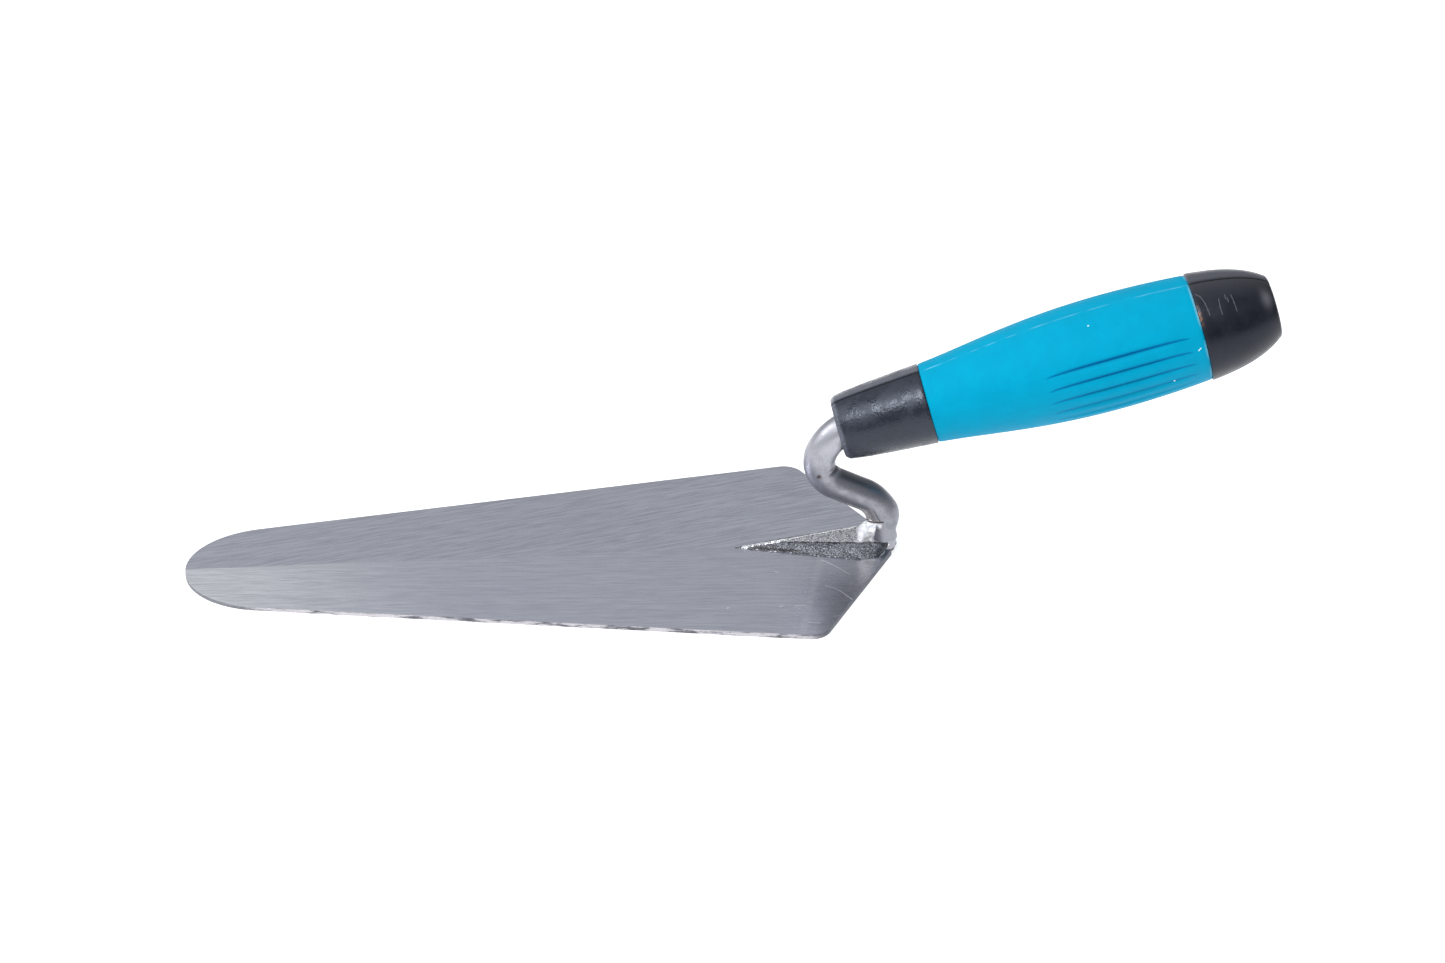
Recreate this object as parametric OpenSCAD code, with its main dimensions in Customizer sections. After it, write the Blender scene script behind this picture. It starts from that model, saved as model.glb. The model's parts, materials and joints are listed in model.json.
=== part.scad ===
// Brick trowel: a ground steel blade, a forged foot welded along it, a bent round bar for a neck,
// and a moulded handle in three parts on the bar's tang.
//
// Millimetres. +X runs from the blade towards the handle, +Z is up and y = 0 is the plane of symmetry.
// The origin lies on the blade's flat underside, straight below the axis of the neck's upright.

/* [Blade] */
// Length of the blade from tip to heel
blade_length = 180; // [150:1:260]
// Width of the blade across its shoulders
blade_width = 80; // [60:1:110]
// Distance of the shoulders from the heel
shoulder_setback = 21.3; // [18:0.1:34]
// Radius of the rounded shoulders
shoulder_r = 5.5; // [1:0.1:9]
// Length of the half ellipse that rounds the tip
tip_length = 22.4; // [12:0.1:34]
// Width of the half ellipse that rounds the tip
tip_width = 36.6; // [24:0.2:48]
// Width of the short square end at the heel
heel_width = 6.4; // [5:0.1:9]
// Thickness of the middle ridge at the heel
ridge_heel_t = 2; // [1.8:0.1:3]
// Thickness of the middle ridge at the tip
ridge_tip_t = 1.2; // [1:0.1:1.7]
// Thickness of the ground edge at the shoulders
edge_t = 1.3; // [0.9:0.1:1.6]

/* [Foot] */
// Distance from the heel to the axis of the neck's upright
heel_inset = 2.27; // [1:0.01:4]
// Length of the foot in front of the neck's axis
foot_length = 37.8; // [30:0.1:50]
// Greatest width of the foot, on the blade
foot_width = 15.2; // [12:0.1:19]
// Distance of the foot's greatest width from the neck's axis
foot_shoulder = 6; // [4.5:0.1:9]
// Height of the foot's seat for the neck above the blade's underside
foot_height = 4.8; // [4:0.1:7]
// Distance from the neck's axis to the front corner of the foot's flat top
foot_flat_length = 24.7; // [15:0.1:27]
// Height of that front corner above the blade's underside
foot_flat_height = 3.65; // [3:0.05:4]

/* [Welds] */
// Height of the weld in front of the neck
neck_weld_height = 4.2; // [2:0.1:4.6]
// Reach of that weld in front of the bar
neck_weld_reach = 2.5; // [1:0.1:4]
// Radius of the beads along the two sides of the foot
side_weld_r = 0.7; // [0.4:0.05:1]
// Distance of the beads' front ends from the foot's point
side_weld_start = 3; // [1.5:0.1:12]

/* [Neck] */
// Diameter of the bar
bar_d = 8.2; // [7:0.1:10]
// Chamfer round the bar's lower end, where the weld runs in
bar_chamfer = 0.8; // [0.3:0.1:1.5]
// Height of the straight upright between the foot and the lowest bend
upright_height = 3.85; // [2:0.05:12]
// Radius of the lowest bend, on the bar's axis
low_bend_r = 9.2; // [7:0.1:14]
// Rise of the sloping stretch, in degrees above level
slope_angle = 26.3; // [15:0.1:45]
// Length of the sloping stretch between two bends
slope_length = 8.2; // [4:0.1:30]
// Radius of the tight bend in front
mid_bend_r = 7.6; // [6:0.1:12]
// Radius of the last bend, into the handle
top_bend_r = 14.2; // [10:0.1:25]
// Turn of the last bend, in degrees
top_bend_turn = 49.7; // [35:0.1:60]
// Pitch of the handle, in degrees above level
handle_pitch = 16.3; // [5:0.1:30]

/* [Tang] */
// Length of the straight tang inside the handle
tang_length = 60; // [45:1:68]
// Distance of the first retaining groove from the tang's end
tang_groove_start = 6; // [4:0.5:10]
// Width of a retaining groove
tang_groove_w = 3; // [2:0.5:4]
// Depth of a retaining groove
tang_groove_depth = 0.6; // [0.3:0.1:1]
// Length of the pressed flats that stop the handle turning
tang_flat_length = 12; // [6:1:16]
// Depth of each pressed flat
tang_flat_depth = 0.7; // [0.3:0.1:1.2]
// Gap between the tang and the core's bore
tang_gap = 0.05; // [0.02:0.01:0.15]

/* [Collar] */
// Length of the collar in front of the grip
collar_length = 23.5; // [18:0.5:35]
// How far the collar reaches over the last bend
collar_overlap = 5.4; // [2:0.1:6]
// Diameter of the collar's front face
collar_face_d = 14.8; // [13.5:0.1:16]
// Diameter of the collar behind its chamfer
collar_rim_d = 17.1; // [16.4:0.1:18.5]
// Length of the collar's chamfer
collar_rim_length = 3; // [1:0.1:4]
// Diameter of the collar at the grip
collar_rear_d = 20.7; // [20:0.1:23]

/* [Grip] */
// Length of the soft grip
grip_length = 69.7; // [62:0.1:90]
// Diameter of the grip at the collar
grip_front_d = 20.4; // [19:0.1:22]
// Diameter of the grip at the cap
grip_rear_d = 26.9; // [25.5:0.1:28]
// Length over which the front of the grip swells
grip_front_pull = 16.3; // [10:0.1:22]
// Diameter that the grip swells towards in front
grip_front_pull_d = 23.3; // [21:0.1:25]
// Length over which the rear of the grip narrows
grip_rear_pull = 35.9; // [28:0.1:40]
// Diameter that the grip swells towards behind
grip_rear_pull_d = 33.1; // [31:0.1:35]
// Thickness of the soft grip over the core
grip_wall = 2.5; // [1.8:0.1:3.2]
// Gap between the grip and the core that it is moulded over
grip_gap = 0.05; // [0.02:0.01:0.15]

/* [Finger grooves] */
// Number of grooves on each side of the grip
groove_count = 5; // [1:1:6]
// Angle between two neighbouring grooves
groove_pitch = 15; // [12:0.5:20]
// Angle of the middle groove below the side of the grip
groove_drop = 8; // [0:0.5:20]
// Diameter of the grip at the floor of the grooves
groove_floor_d = 27.56; // [26.6:0.02:28.4]
// Radius of the round cutter that makes a groove
groove_cutter_r = 1.1; // [0.6:0.1:1.5]

/* [Butt cap] */
// Length of the cap behind the grip
cap_length = 19.6; // [15:0.1:30]
// Diameter of the cap at the grip
cap_front_d = 27.6; // [27:0.1:29]
// Length over which the cap stays nearly straight
cap_front_pull = 7.7; // [5:0.1:9]
// Diameter that the cap narrows towards in front
cap_front_pull_d = 26.3; // [25:0.1:27.5]
// Length over which the cap closes in behind
cap_rear_pull = 4.2; // [3:0.1:5]
// Diameter that the cap narrows towards behind
cap_rear_pull_d = 23; // [21:0.1:24]
// Diameter of the cap where its end is rounded off
cap_end_d = 16.6; // [15.6:0.1:17.5]
// Diameter of the flat butt
butt_flat_d = 13.6; // [11:0.1:15]
// Length of the rounded edge round the flat butt
butt_round = 1; // [0.5:0.1:2]
// Diameter of the cap's plug inside the core
plug_d = 14; // [10:0.1:16]
// Length of the cap's plug
plug_length = 12; // [8:0.5:14]
// Height of the snap bead round the plug
snap_height = 0.4; // [0.2:0.05:0.6]
// Width of the snap bead
snap_w = 2.4; // [1.6:0.1:3]
// Diameter of the hole that cores out the plug
plug_core_d = 8; // [4:0.1:9]
// Gap between the plug and its socket
plug_gap = 0.1; // [0.05:0.01:0.2]

/* [Hidden] */

$fn = 96;
BAR_SIDES = 36;       // sides of the bar's skin
BEND_STEPS = 12;      // steps round each of its bends
CURVE_STEPS = 24;     // steps along each free curve of the handle
OVERCUT = 5;          // how far a cutter runs past what it cuts

// Blade
heel_x = heel_inset;
tip_x = heel_x - blade_length;
shoulder_x = heel_x - shoulder_setback;
ridge_angle = atan((ridge_heel_t - ridge_tip_t) / blade_length);
shoulder_ridge_t = ridge_heel_t - shoulder_setback * tan(ridge_angle);
face_angle = atan((shoulder_ridge_t - edge_t) / (blade_width / 2));

// Foot
foot_tip_x = -foot_length;
foot_tip_z = ridge_heel_t - (heel_x + foot_length) * tan(ridge_angle);
foot_side = [-foot_shoulder, foot_width / 2];

// Neck: the bar's axis, from the foot up into the handle
low_bend_z = foot_height + upright_height;
low_turn = 90 - slope_angle;
low_centre = [-low_bend_r, low_bend_z];
slope_dir = [-cos(slope_angle), sin(slope_angle)];
slope_start = low_centre + low_bend_r * polar(low_turn);
slope_end = slope_start + slope_length * slope_dir;
mid_start_angle = 270 - slope_angle;
mid_centre = slope_end - mid_bend_r * polar(mid_start_angle);
top_end_angle = 90 + handle_pitch;
top_start_angle = top_end_angle + top_bend_turn;
top_centre = mid_centre + (mid_bend_r - top_bend_r) * polar(top_start_angle);
tang_start = top_centre + top_bend_r * polar(top_end_angle);

// Handle: z along its axis, 0 where the collar meets the grip
tang_z = collar_overlap - collar_length;
tang_end_z = tang_z + tang_length;
handle_origin = tang_start - tang_z * polar(handle_pitch);
socket_z = grip_length - plug_length - plug_gap;
snap_z = grip_length - plug_length / 2;

// A point at a given angle on the unit circle
function polar(angle) = [cos(angle), sin(angle)];

// A cubic curve from a to d that leaves towards b and arrives from c
function curve(a, b, c, d) = [
    for (i = [0:CURVE_STEPS])
        let (t = i / CURVE_STEPS, u = 1 - t)
            u * u * u * a + 3 * u * u * t * b + 3 * u * t * t * c + t * t * t * d
];

function tail(points) = [for (i = [1:len(points) - 1]) points[i]];

function reversed(points) = [for (i = [len(points) - 1:-1:0]) points[i]];

// The grip's outer curve, drawn in by a given wall: [radius, z]
function grip_curve(wall) = curve(
    [grip_front_d / 2 - wall, 0],
    [grip_front_pull_d / 2 - wall, grip_front_pull],
    [grip_rear_pull_d / 2 - wall, grip_length - grip_rear_pull],
    [grip_rear_d / 2 - wall, grip_length]
);

// Puts a shape that is drawn along Z onto the handle's axis, with its own X pointing down
module on_handle() {
    translate([handle_origin.x, 0, handle_origin.y])
        rotate([0, 90 - handle_pitch, 0])
            children();
}

// Stretches of the bar: [centre, heading, radius, half width across], one for each ring of its skin
function bent(centre, radius, from, to, turn) = [
    for (i = [0:BEND_STEPS])
        let (a = from + (to - from) * i / BEND_STEPS)
            [centre + radius * polar(a), a + turn, bar_d / 2, bar_d / 2]
];

function along_tang(z, radius, half_width) = [
    handle_origin + z * polar(handle_pitch), handle_pitch, radius, half_width
];

function neck_rings() =
    let (r = bar_d / 2,
         neck_r = r - tang_groove_depth,
         edge = tang_groove_depth,
         flat = r - tang_flat_depth,
         flat_z = tang_end_z - tang_groove_start - 4 * tang_groove_w - tang_flat_length)
    concat(
        [
            [[0, foot_height], 90, r - bar_chamfer, r - bar_chamfer],
            [[0, foot_height + bar_chamfer], 90, r, r]
        ],
        bent(low_centre, low_bend_r, 0, low_turn, 90),
        bent(mid_centre, mid_bend_r, mid_start_angle, top_start_angle, -90),
        tail(bent(top_centre, top_bend_r, top_start_angle, top_end_angle, -90)),
        [
            along_tang(flat_z, r, r),
            along_tang(flat_z + tang_flat_depth, r, flat),
            along_tang(flat_z + tang_flat_length - tang_flat_depth, r, flat),
            along_tang(flat_z + tang_flat_length, r, r)
        ],
        [
            for (i = [1, 0])
                let (z = tang_end_z - tang_groove_start - (2 * i + 1) * tang_groove_w)
                    each [
                        along_tang(z, r, r),
                        along_tang(z + edge, neck_r, neck_r),
                        along_tang(z + tang_groove_w - edge, neck_r, neck_r),
                        along_tang(z + tang_groove_w, r, r)
                    ]
        ],
        [
            along_tang(tang_end_z - bar_chamfer, r, r),
            along_tang(tang_end_z, r - bar_chamfer, r - bar_chamfer)
        ]
    );

// The bar's skin: a ring of points round each station, joined from ring to ring and closed at both ends
module bar_skin(rings) {
    count = len(rings);
    points = [
        for (ring = rings, i = [0:BAR_SIDES - 1])
            let (a = 360 * i / BAR_SIDES,
                 across = max(-ring[3], min(ring[3], ring[2] * sin(a))),
                 c = ring[0] + ring[2] * cos(a) * polar(ring[1] + 90))
                [c.x, across, c.y]
    ];
    sides = [
        for (k = [0:count - 2], i = [0:BAR_SIDES - 1])
            let (j = (i + 1) % BAR_SIDES)
                [
                    k * BAR_SIDES + i,
                    (k + 1) * BAR_SIDES + i,
                    (k + 1) * BAR_SIDES + j,
                    k * BAR_SIDES + j
                ]
    ];
    ends = [
        [for (i = [0:BAR_SIDES - 1]) i],
        [for (i = [BAR_SIDES - 1:-1:0]) (count - 1) * BAR_SIDES + i]
    ];
    polyhedron(points, concat(ends, sides), convexity = 6);
}

// The bore for the tang, and its mouth, which leans with the end of the last bend
module tang_bore() {
    lean = asin(collar_overlap / top_bend_r) / 2;
    bow = top_bend_r * (1 - cos(lean));
    bore_r = bar_d / 2 + tang_gap;
    on_handle()
        translate([0, 0, tang_z]) {
            cylinder(r = bore_r, h = tang_length + tang_gap);
            rotate([0, -lean, 0])
                translate([0, 0, -2 * collar_overlap])
                    cylinder(r = bore_r + bow, h = 2 * collar_overlap);
        }
}

// Outline of the blade, half by half from the tip: ellipse, straight side, rounded shoulder, heel
module blade_outline() {
    tip = [tip_length, tip_width / 2];
    shoulder = [shoulder_x, blade_width / 2];
    heel = [heel_x, heel_width / 2];
    reach = [(shoulder.x - tip_x - tip.x) / tip.x, shoulder.y / tip.y];
    side_angle = atan2(reach.y, reach.x) + acos(1 / norm(reach));
    ellipse_steps = 20;
    side_end = [tip_x + tip.x + tip.x * cos(side_angle), tip.y * sin(side_angle)];
    along = (side_end - shoulder) / norm(side_end - shoulder);
    down = (heel - shoulder) / norm(heel - shoulder);
    half_corner = acos(along * down) / 2;
    centre = shoulder + shoulder_r / sin(half_corner) * (along + down) / norm(along + down);
    arc_mid = atan2(shoulder.y - centre.y, shoulder.x - centre.x);
    arc_half = 90 - half_corner;
    half = [
        for (i = [0:ellipse_steps])
            let (t = 180 - (180 - side_angle) * i / ellipse_steps)
                [tip_x + tip.x + tip.x * cos(t), tip.y * sin(t)],
        for (i = [-4:4])
            centre + shoulder_r * polar(arc_mid - arc_half * i / 4),
        heel
    ];
    polygon(concat(half, reversed([for (p = half) if (p.y > 0.001) [p.x, -p.y]])));
}

// Flat plate whose two upper faces are ground down from a middle ridge to the edges
module blade() {
    color([0.66, 0.67, 0.71])
        difference() {
            linear_extrude(ridge_heel_t)
                blade_outline();
            for (side = [0, 1])
                mirror([0, side, 0])
                    translate([heel_x, 0, ridge_heel_t])
                        rotate([0, -ridge_angle, 0])
                            rotate([-face_angle, 0, 0])
                                translate([-blade_length - OVERCUT, -OVERCUT, 0])
                                    cube([blade_length + 2 * OVERCUT, blade_width, OVERCUT]);
        }
}

// Wedge under the neck: a ridge that rises from its point, a flat top that widens to the bar's seat
module foot_wedge() {
    thin = 0.01;
    hull() {
        linear_extrude(foot_tip_z)
            polygon([
                [foot_tip_x, 0],
                [foot_side.x, -foot_side.y],
                [foot_side.x / 3, -foot_side.y],
                [foot_side.x / 3, foot_side.y],
                foot_side
            ]);
        cylinder(d = bar_d - bar_chamfer, h = ridge_heel_t, $fn = 32);
        translate([-foot_flat_length, 0, foot_flat_height - thin])
            cylinder(d = thin, h = thin, $fn = 12);
        translate([0, 0, foot_height - thin - bar_chamfer])
            cylinder(d = bar_d, h = thin, $fn = 32);
        translate([0, 0, foot_height - thin])
            cylinder(d = bar_d - bar_chamfer, h = thin, $fn = 32);
    }
}

module foot() {
    color([0.42, 0.43, 0.46])
        difference() {
            foot_wedge();
            blade();
            translate([heel_x - bar_d, -foot_width, -OVERCUT])
                cube([2 * bar_d, 2 * foot_width, OVERCUT + ridge_heel_t]);
        }
}

// Round bar bent from the foot's seat forwards, up, back and into the handle
module neck() {
    color([0.72, 0.73, 0.77])
        bar_skin(neck_rings());
}

// Weld that fills the corner between the foot's top and the front of the bar
module neck_weld() {
    foot_r = bar_d / 2 - bar_chamfer;
    color([0.9, 0.9, 0.93])
        difference() {
            translate([foot_r - bar_d / 2 - neck_weld_reach, 0, foot_height])
                cylinder(r1 = foot_r, r2 = foot_r / 2, h = neck_weld_height);
            translate([0, 0, foot_height - OVERCUT])
                cylinder(d = bar_d, h = 3 * OVERCUT);
        }
}

// Weld under the foot's overhang, round the square end of the heel
module heel_weld() {
    color([0.6, 0.6, 0.64])
        difference() {
            cylinder(d1 = bar_d - 3 * bar_chamfer, d2 = bar_d - bar_chamfer, h = ridge_heel_t);
            translate([heel_x - bar_d, -bar_d, -OVERCUT])
                cube([bar_d, 2 * bar_d, 2 * OVERCUT]);
        }
}

// Bead along the left side of the foot, half sunk in the corner between foot and blade
module side_weld_left() {
    run = foot_side - [foot_tip_x, 0];
    bead_length = norm(run) - side_weld_start;
    color([0.55, 0.56, 0.59])
        difference() {
            translate([foot_tip_x, 0, foot_tip_z])
                rotate([0, 0, atan2(run.y, run.x)])
                    translate([side_weld_start, 0, 0])
                        rotate([0, 90, 0]) {
                            cylinder(r1 = side_weld_r / 3, r2 = side_weld_r, h = bead_length / 3);
                            translate([0, 0, bead_length / 3])
                                cylinder(r = side_weld_r, h = bead_length * 2 / 3);
                        }
            foot_wedge();
            blade();
        }
}

module side_weld_right() {
    mirror([0, 1, 0])
        side_weld_left();
}

// Hard core moulded round the tang: the collar in front, the body under the grip, the cap's socket
module handle_core() {
    socket_r = plug_d / 2 + plug_gap;
    color([0.2, 0.2, 0.24])
        difference() {
            on_handle()
                rotate_extrude()
                    polygon(concat(
                        [
                            [0, -collar_length],
                            [collar_face_d / 2, -collar_length],
                            [collar_rim_d / 2, collar_rim_length - collar_length],
                            [collar_rear_d / 2, 0]
                        ],
                        grip_curve(grip_wall + grip_gap),
                        [
                            [socket_r, grip_length],
                            [socket_r, snap_z + snap_w / 2 + plug_gap],
                            [socket_r + snap_height, snap_z + plug_gap],
                            [socket_r + snap_height, snap_z - plug_gap],
                            [socket_r, snap_z - snap_w / 2 - plug_gap],
                            [socket_r, socket_z],
                            [0, socket_z]
                        ]
                    ));
            tang_bore();
        }
}

// Soft sleeve moulded over the core, with straight round grooves down both sides of its belly
module grip() {
    color([0.02, 0.66, 0.85])
        on_handle()
            difference() {
                rotate_extrude()
                    polygon(concat(grip_curve(0), reversed(grip_curve(grip_wall))));
                for (side = [-1, 1], i = [0:groove_count - 1])
                    let (angle = 90 - groove_drop + (i - (groove_count - 1) / 2) * groove_pitch)
                        rotate([0, 0, side * angle])
                            translate([groove_floor_d / 2 + groove_cutter_r, 0, -OVERCUT])
                                cylinder(r = groove_cutter_r, h = grip_length + 2 * OVERCUT, $fn = 32);
            }
}

// Hard cap that closes the core, with a plug that snaps into the core's socket
module butt_cap() {
    plug_r = plug_d / 2;
    plug_z = grip_length - plug_length;
    cap_z = grip_length + cap_length;
    round_z = cap_z - butt_round;
    color([0.16, 0.16, 0.19])
        on_handle()
            rotate_extrude()
                polygon(concat(
                    [
                        [0, grip_length],
                        [plug_core_d / 2, grip_length],
                        [plug_core_d / 2, plug_z],
                        [plug_r - snap_height, plug_z],
                        [plug_r, plug_z + snap_height],
                        [plug_r, snap_z - snap_w / 2],
                        [plug_r + snap_height, snap_z],
                        [plug_r, snap_z + snap_w / 2],
                        [plug_r, grip_length]
                    ],
                    curve(
                        [cap_front_d / 2, grip_length],
                        [cap_front_pull_d / 2, grip_length + cap_front_pull],
                        [cap_rear_pull_d / 2, round_z - cap_rear_pull],
                        [cap_end_d / 2, round_z]
                    ),
                    [
                        [(cap_end_d * 2 + butt_flat_d) / 6, cap_z - butt_round / 3],
                        [butt_flat_d / 2, cap_z],
                        [0, cap_z]
                    ]
                ));
}

blade();
foot();
neck();
neck_weld();
heel_weld();
side_weld_left();
side_weld_right();
handle_core();
grip();
butt_cap();
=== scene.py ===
import json

import bmesh
import bpy
import numpy as np
from mathutils import Matrix, Vector


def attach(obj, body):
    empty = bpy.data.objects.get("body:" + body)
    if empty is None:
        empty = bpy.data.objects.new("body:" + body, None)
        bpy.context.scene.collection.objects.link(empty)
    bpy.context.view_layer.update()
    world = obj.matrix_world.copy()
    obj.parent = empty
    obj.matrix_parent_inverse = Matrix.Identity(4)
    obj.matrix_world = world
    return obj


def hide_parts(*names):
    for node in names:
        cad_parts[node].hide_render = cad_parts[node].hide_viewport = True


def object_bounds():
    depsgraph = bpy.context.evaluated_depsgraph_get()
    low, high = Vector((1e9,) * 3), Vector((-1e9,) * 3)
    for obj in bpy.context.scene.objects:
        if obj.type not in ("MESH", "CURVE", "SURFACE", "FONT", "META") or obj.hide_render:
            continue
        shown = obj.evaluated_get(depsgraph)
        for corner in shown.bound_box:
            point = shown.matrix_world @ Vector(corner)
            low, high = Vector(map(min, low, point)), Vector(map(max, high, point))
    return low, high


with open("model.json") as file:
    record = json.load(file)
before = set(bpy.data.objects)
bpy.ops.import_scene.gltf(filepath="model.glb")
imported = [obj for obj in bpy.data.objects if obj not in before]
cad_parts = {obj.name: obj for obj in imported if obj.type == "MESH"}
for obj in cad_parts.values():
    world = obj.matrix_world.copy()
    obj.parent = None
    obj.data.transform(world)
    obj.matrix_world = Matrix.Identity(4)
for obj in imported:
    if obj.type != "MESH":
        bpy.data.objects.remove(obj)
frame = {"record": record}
cad_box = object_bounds()


# --- Camera ---
# It looks down on the trowel from its right side, as from a stand over a bench.
# A long lens keeps the blade and the handle nearly free of perspective.

camera_target = Vector((-0.04125, 0, 0.02211))
camera_distance = 0.8457
camera_azimuth, camera_elevation, camera_roll = np.radians((-5.02, 32.3, 0.75))

camera_back = Vector((
    np.sin(camera_azimuth) * np.cos(camera_elevation),
    -np.cos(camera_azimuth) * np.cos(camera_elevation),
    np.sin(camera_elevation),
))
level_right = Vector((np.cos(camera_azimuth), np.sin(camera_azimuth), 0))
level_up = camera_back.cross(level_right)
camera_right = np.cos(camera_roll) * level_right + np.sin(camera_roll) * level_up
camera_up = np.cos(camera_roll) * level_up - np.sin(camera_roll) * level_right

camera_lens = bpy.data.cameras.new("long_lens")
camera_lens.lens = 83.19
camera_lens.sensor_width = 36
camera = bpy.data.objects.new("camera", camera_lens)
camera.matrix_world = Matrix.LocRotScale(
    camera_target + camera_distance * camera_back,
    Matrix((camera_right, camera_up, camera_back)).transposed(),
    None,
)
bpy.context.scene.collection.objects.link(camera)
bpy.context.scene.camera = camera


# --- Floor and light ---
# A white paper floor under a white light tent: bright above, behind and to the left, dimmer in front and
# where its cloth is gathered right overhead. Two soft boxes draw the long highlights on the bar and the handle.

def node(tree, kind, inputs=(), **settings):
    """Adds a shader node; inputs gives its sockets, by name or number, another node's output or a value."""
    made = tree.nodes.new("ShaderNode" + kind)
    for name, value in settings.items():
        setattr(made, name, value)
    for key, value in dict(inputs).items():
        if isinstance(value, bpy.types.NodeSocket):
            tree.links.new(value, made.inputs[key])
        else:
            made.inputs[key].default_value = value
    return made


def tree_of(*values):
    """The tree that the first of the values comes from that is a node's output."""
    return next(value.id_data for value in values if isinstance(value, bpy.types.NodeSocket))


def number(operation, first, second=0.0):
    """One step of arithmetic."""
    return node(tree_of(first, second), "Math", {0: first, 1: second}, operation=operation).outputs[0]


def vector(operation, first, second):
    """One step of arithmetic on vectors."""
    made = node(tree_of(first, second), "VectorMath", {0: first, 1: second}, operation=operation)
    return made.outputs["Value" if operation in ("DOT_PRODUCT", "DISTANCE") else 0]


def between(value, low, high, at_low=0.0, at_high=1.0):
    """A value that eases from at_low to at_high while the given one goes from low to high."""
    return node(tree_of(value), "MapRange", {0: value, 1: low, 2: high, 3: at_low, 4: at_high},
                interpolation_type="SMOOTHSTEP").outputs[0]


def soft_box(name, place, width, height, watts):
    """A rectangular lamp at place that faces the trowel's middle."""
    lamp = bpy.data.lights.new(name, "AREA")
    lamp.shape = "RECTANGLE"
    lamp.size, lamp.size_y, lamp.energy = width, height, watts
    holder = bpy.data.objects.new(name, lamp)
    facing = (Vector((0, 0, 0.03)) - Vector(place)).to_track_quat("-Z", "Y")
    holder.matrix_world = Matrix.LocRotScale(Vector(place), facing, None)
    bpy.context.scene.collection.objects.link(holder)
    return holder


bpy.context.scene.view_settings.view_transform = "Standard"
tent = bpy.data.worlds.new("light_tent")
bpy.context.scene.world = tent
tent.use_nodes = True
sky = tent.node_tree
direction = node(sky, "TexCoord").outputs["Generated"]
toward_light = vector("DOT_PRODUCT", direction, (-0.45, -0.15, 0.88))
overhead = vector("DOT_PRODUCT", direction, (0, 0, 1))
brightness = number("MULTIPLY", between(toward_light, 0.0, 1.0, 0.286, 1.025),
                    between(overhead, 0.80, 1.0, 1.0, 0.66))
sky.links.new(brightness, sky.nodes["Background"].inputs["Strength"])
sky.nodes["Background"].inputs["Color"].default_value = (0.92, 0.95, 1, 1)

soft_box("left_soft_box", (-0.9, 0.1, 0.6), 0.5, 0.5, 3.2)
top_box = soft_box("top_soft_box", (-0.36, -0.54, 0.96), 0.45, 0.40, 7.0)

floor_reach, floor_level = 40, cad_box[0][2] - 0.0001
floor_mesh = bpy.data.meshes.new("paper_floor")
floor_mesh.from_pydata([(x * floor_reach, y * floor_reach, floor_level)
                        for x, y in ((-1, -1), (1, -1), (1, 1), (-1, 1))], [], [(0, 1, 2, 3)])
paper_floor = bpy.data.objects.new("paper_floor", floor_mesh)
bpy.context.scene.collection.objects.link(paper_floor)
paper = bpy.data.materials.new("white_paper")
paper.use_nodes = True
for socket, value in (("Base Color", (0.66, 0.66, 0.66, 1)), ("Roughness", 0.9), ("Specular IOR Level", 0.1),
                      ("Emission Color", (1, 1, 1, 1)), ("Emission Strength", 0.70)):
    paper.node_tree.nodes["Principled BSDF"].inputs[socket].default_value = value
floor_mesh.materials.append(paper)


# --- Blade ---
# Carbon-steel plate, thickest along its middle and ground down towards both sides in long passes.
# Its outline is sheared, which leaves a torn bright edge, and only the shoulders and the tip are dressed.

MM = 0.001
blade_length, blade_half_width, shoulder_back, shoulder_r = 180.0, 40.0, 21.3, 5.5
tip_length, tip_half_width, heel_half_width = 22.4, 18.3, 3.2
heel_x, ridge_at_heel, ridge_at_tip, edge_thickness = 2.27, 2.0, 1.2, 1.3
near_grind, far_grind = -3.0, 14.0
ridge_slope = (ridge_at_heel - ridge_at_tip) / blade_length
face_slope = (ridge_at_heel - shoulder_back * ridge_slope - edge_thickness) / blade_half_width


def ridge(x):
    """Height of the blade's middle: falls evenly from the heel to the tip."""
    return ridge_at_heel - (heel_x - x) * ridge_slope


def blade_top(x, y):
    """Height of the ground face: the ridge less an even fall towards both sides."""
    return ridge(x) - face_slope * np.abs(y)


def lumps(points, size, seed):
    """Smooth unevenness from -1 to 1: a sum of sine waves of about the given size, in random directions."""
    waves, pick = 24, np.random.default_rng(seed)
    ways = pick.normal(size=(waves, 3))
    ways *= (2 * np.pi / size * pick.uniform(0.6, 1.5, waves) / np.linalg.norm(ways, axis=1))[:, None]
    return np.sin(points @ ways.T + pick.uniform(0, 6.3, waves)).sum(axis=-1) / np.sqrt(waves) / 1.5


def skin(name, rings, sharp, joined=False):
    """A closed surface through rings[station, point] in mm. Each ring closes on itself and is joined by quads
    to the next. A ring drawn together in a point closes an end, a wide one gets a flat cap, and with joined
    the last ring meets the first. Creases over the sharp angle stay sharp."""
    stations, around = rings.shape[:2]
    index = np.arange(stations * around).reshape(stations, around)
    aside, ahead = np.roll(index, -1, axis=1), np.roll(index, -1, axis=0)
    quads = np.stack([index, aside, np.roll(ahead, -1, axis=1), ahead], axis=-1)
    faces = (quads if joined else quads[:-1]).reshape(-1, 4).tolist()
    if not joined:
        faces += [index[0].tolist(), index[-1].tolist()]
    mesh = bpy.data.meshes.new(name)
    mesh.from_pydata((rings.reshape(-1, 3) * MM).tolist(), [], faces)
    work = bmesh.new()
    work.from_mesh(mesh)
    bmesh.ops.remove_doubles(work, verts=work.verts, dist=2e-6)
    bmesh.ops.recalc_face_normals(work, faces=work.faces)
    work.to_mesh(mesh)
    work.free()
    mesh.shade_smooth()
    mesh.set_sharp_from_angle(angle=np.radians(sharp))
    piece = bpy.data.objects.new(name, mesh)
    bpy.context.scene.collection.objects.link(piece)
    return piece


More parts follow.
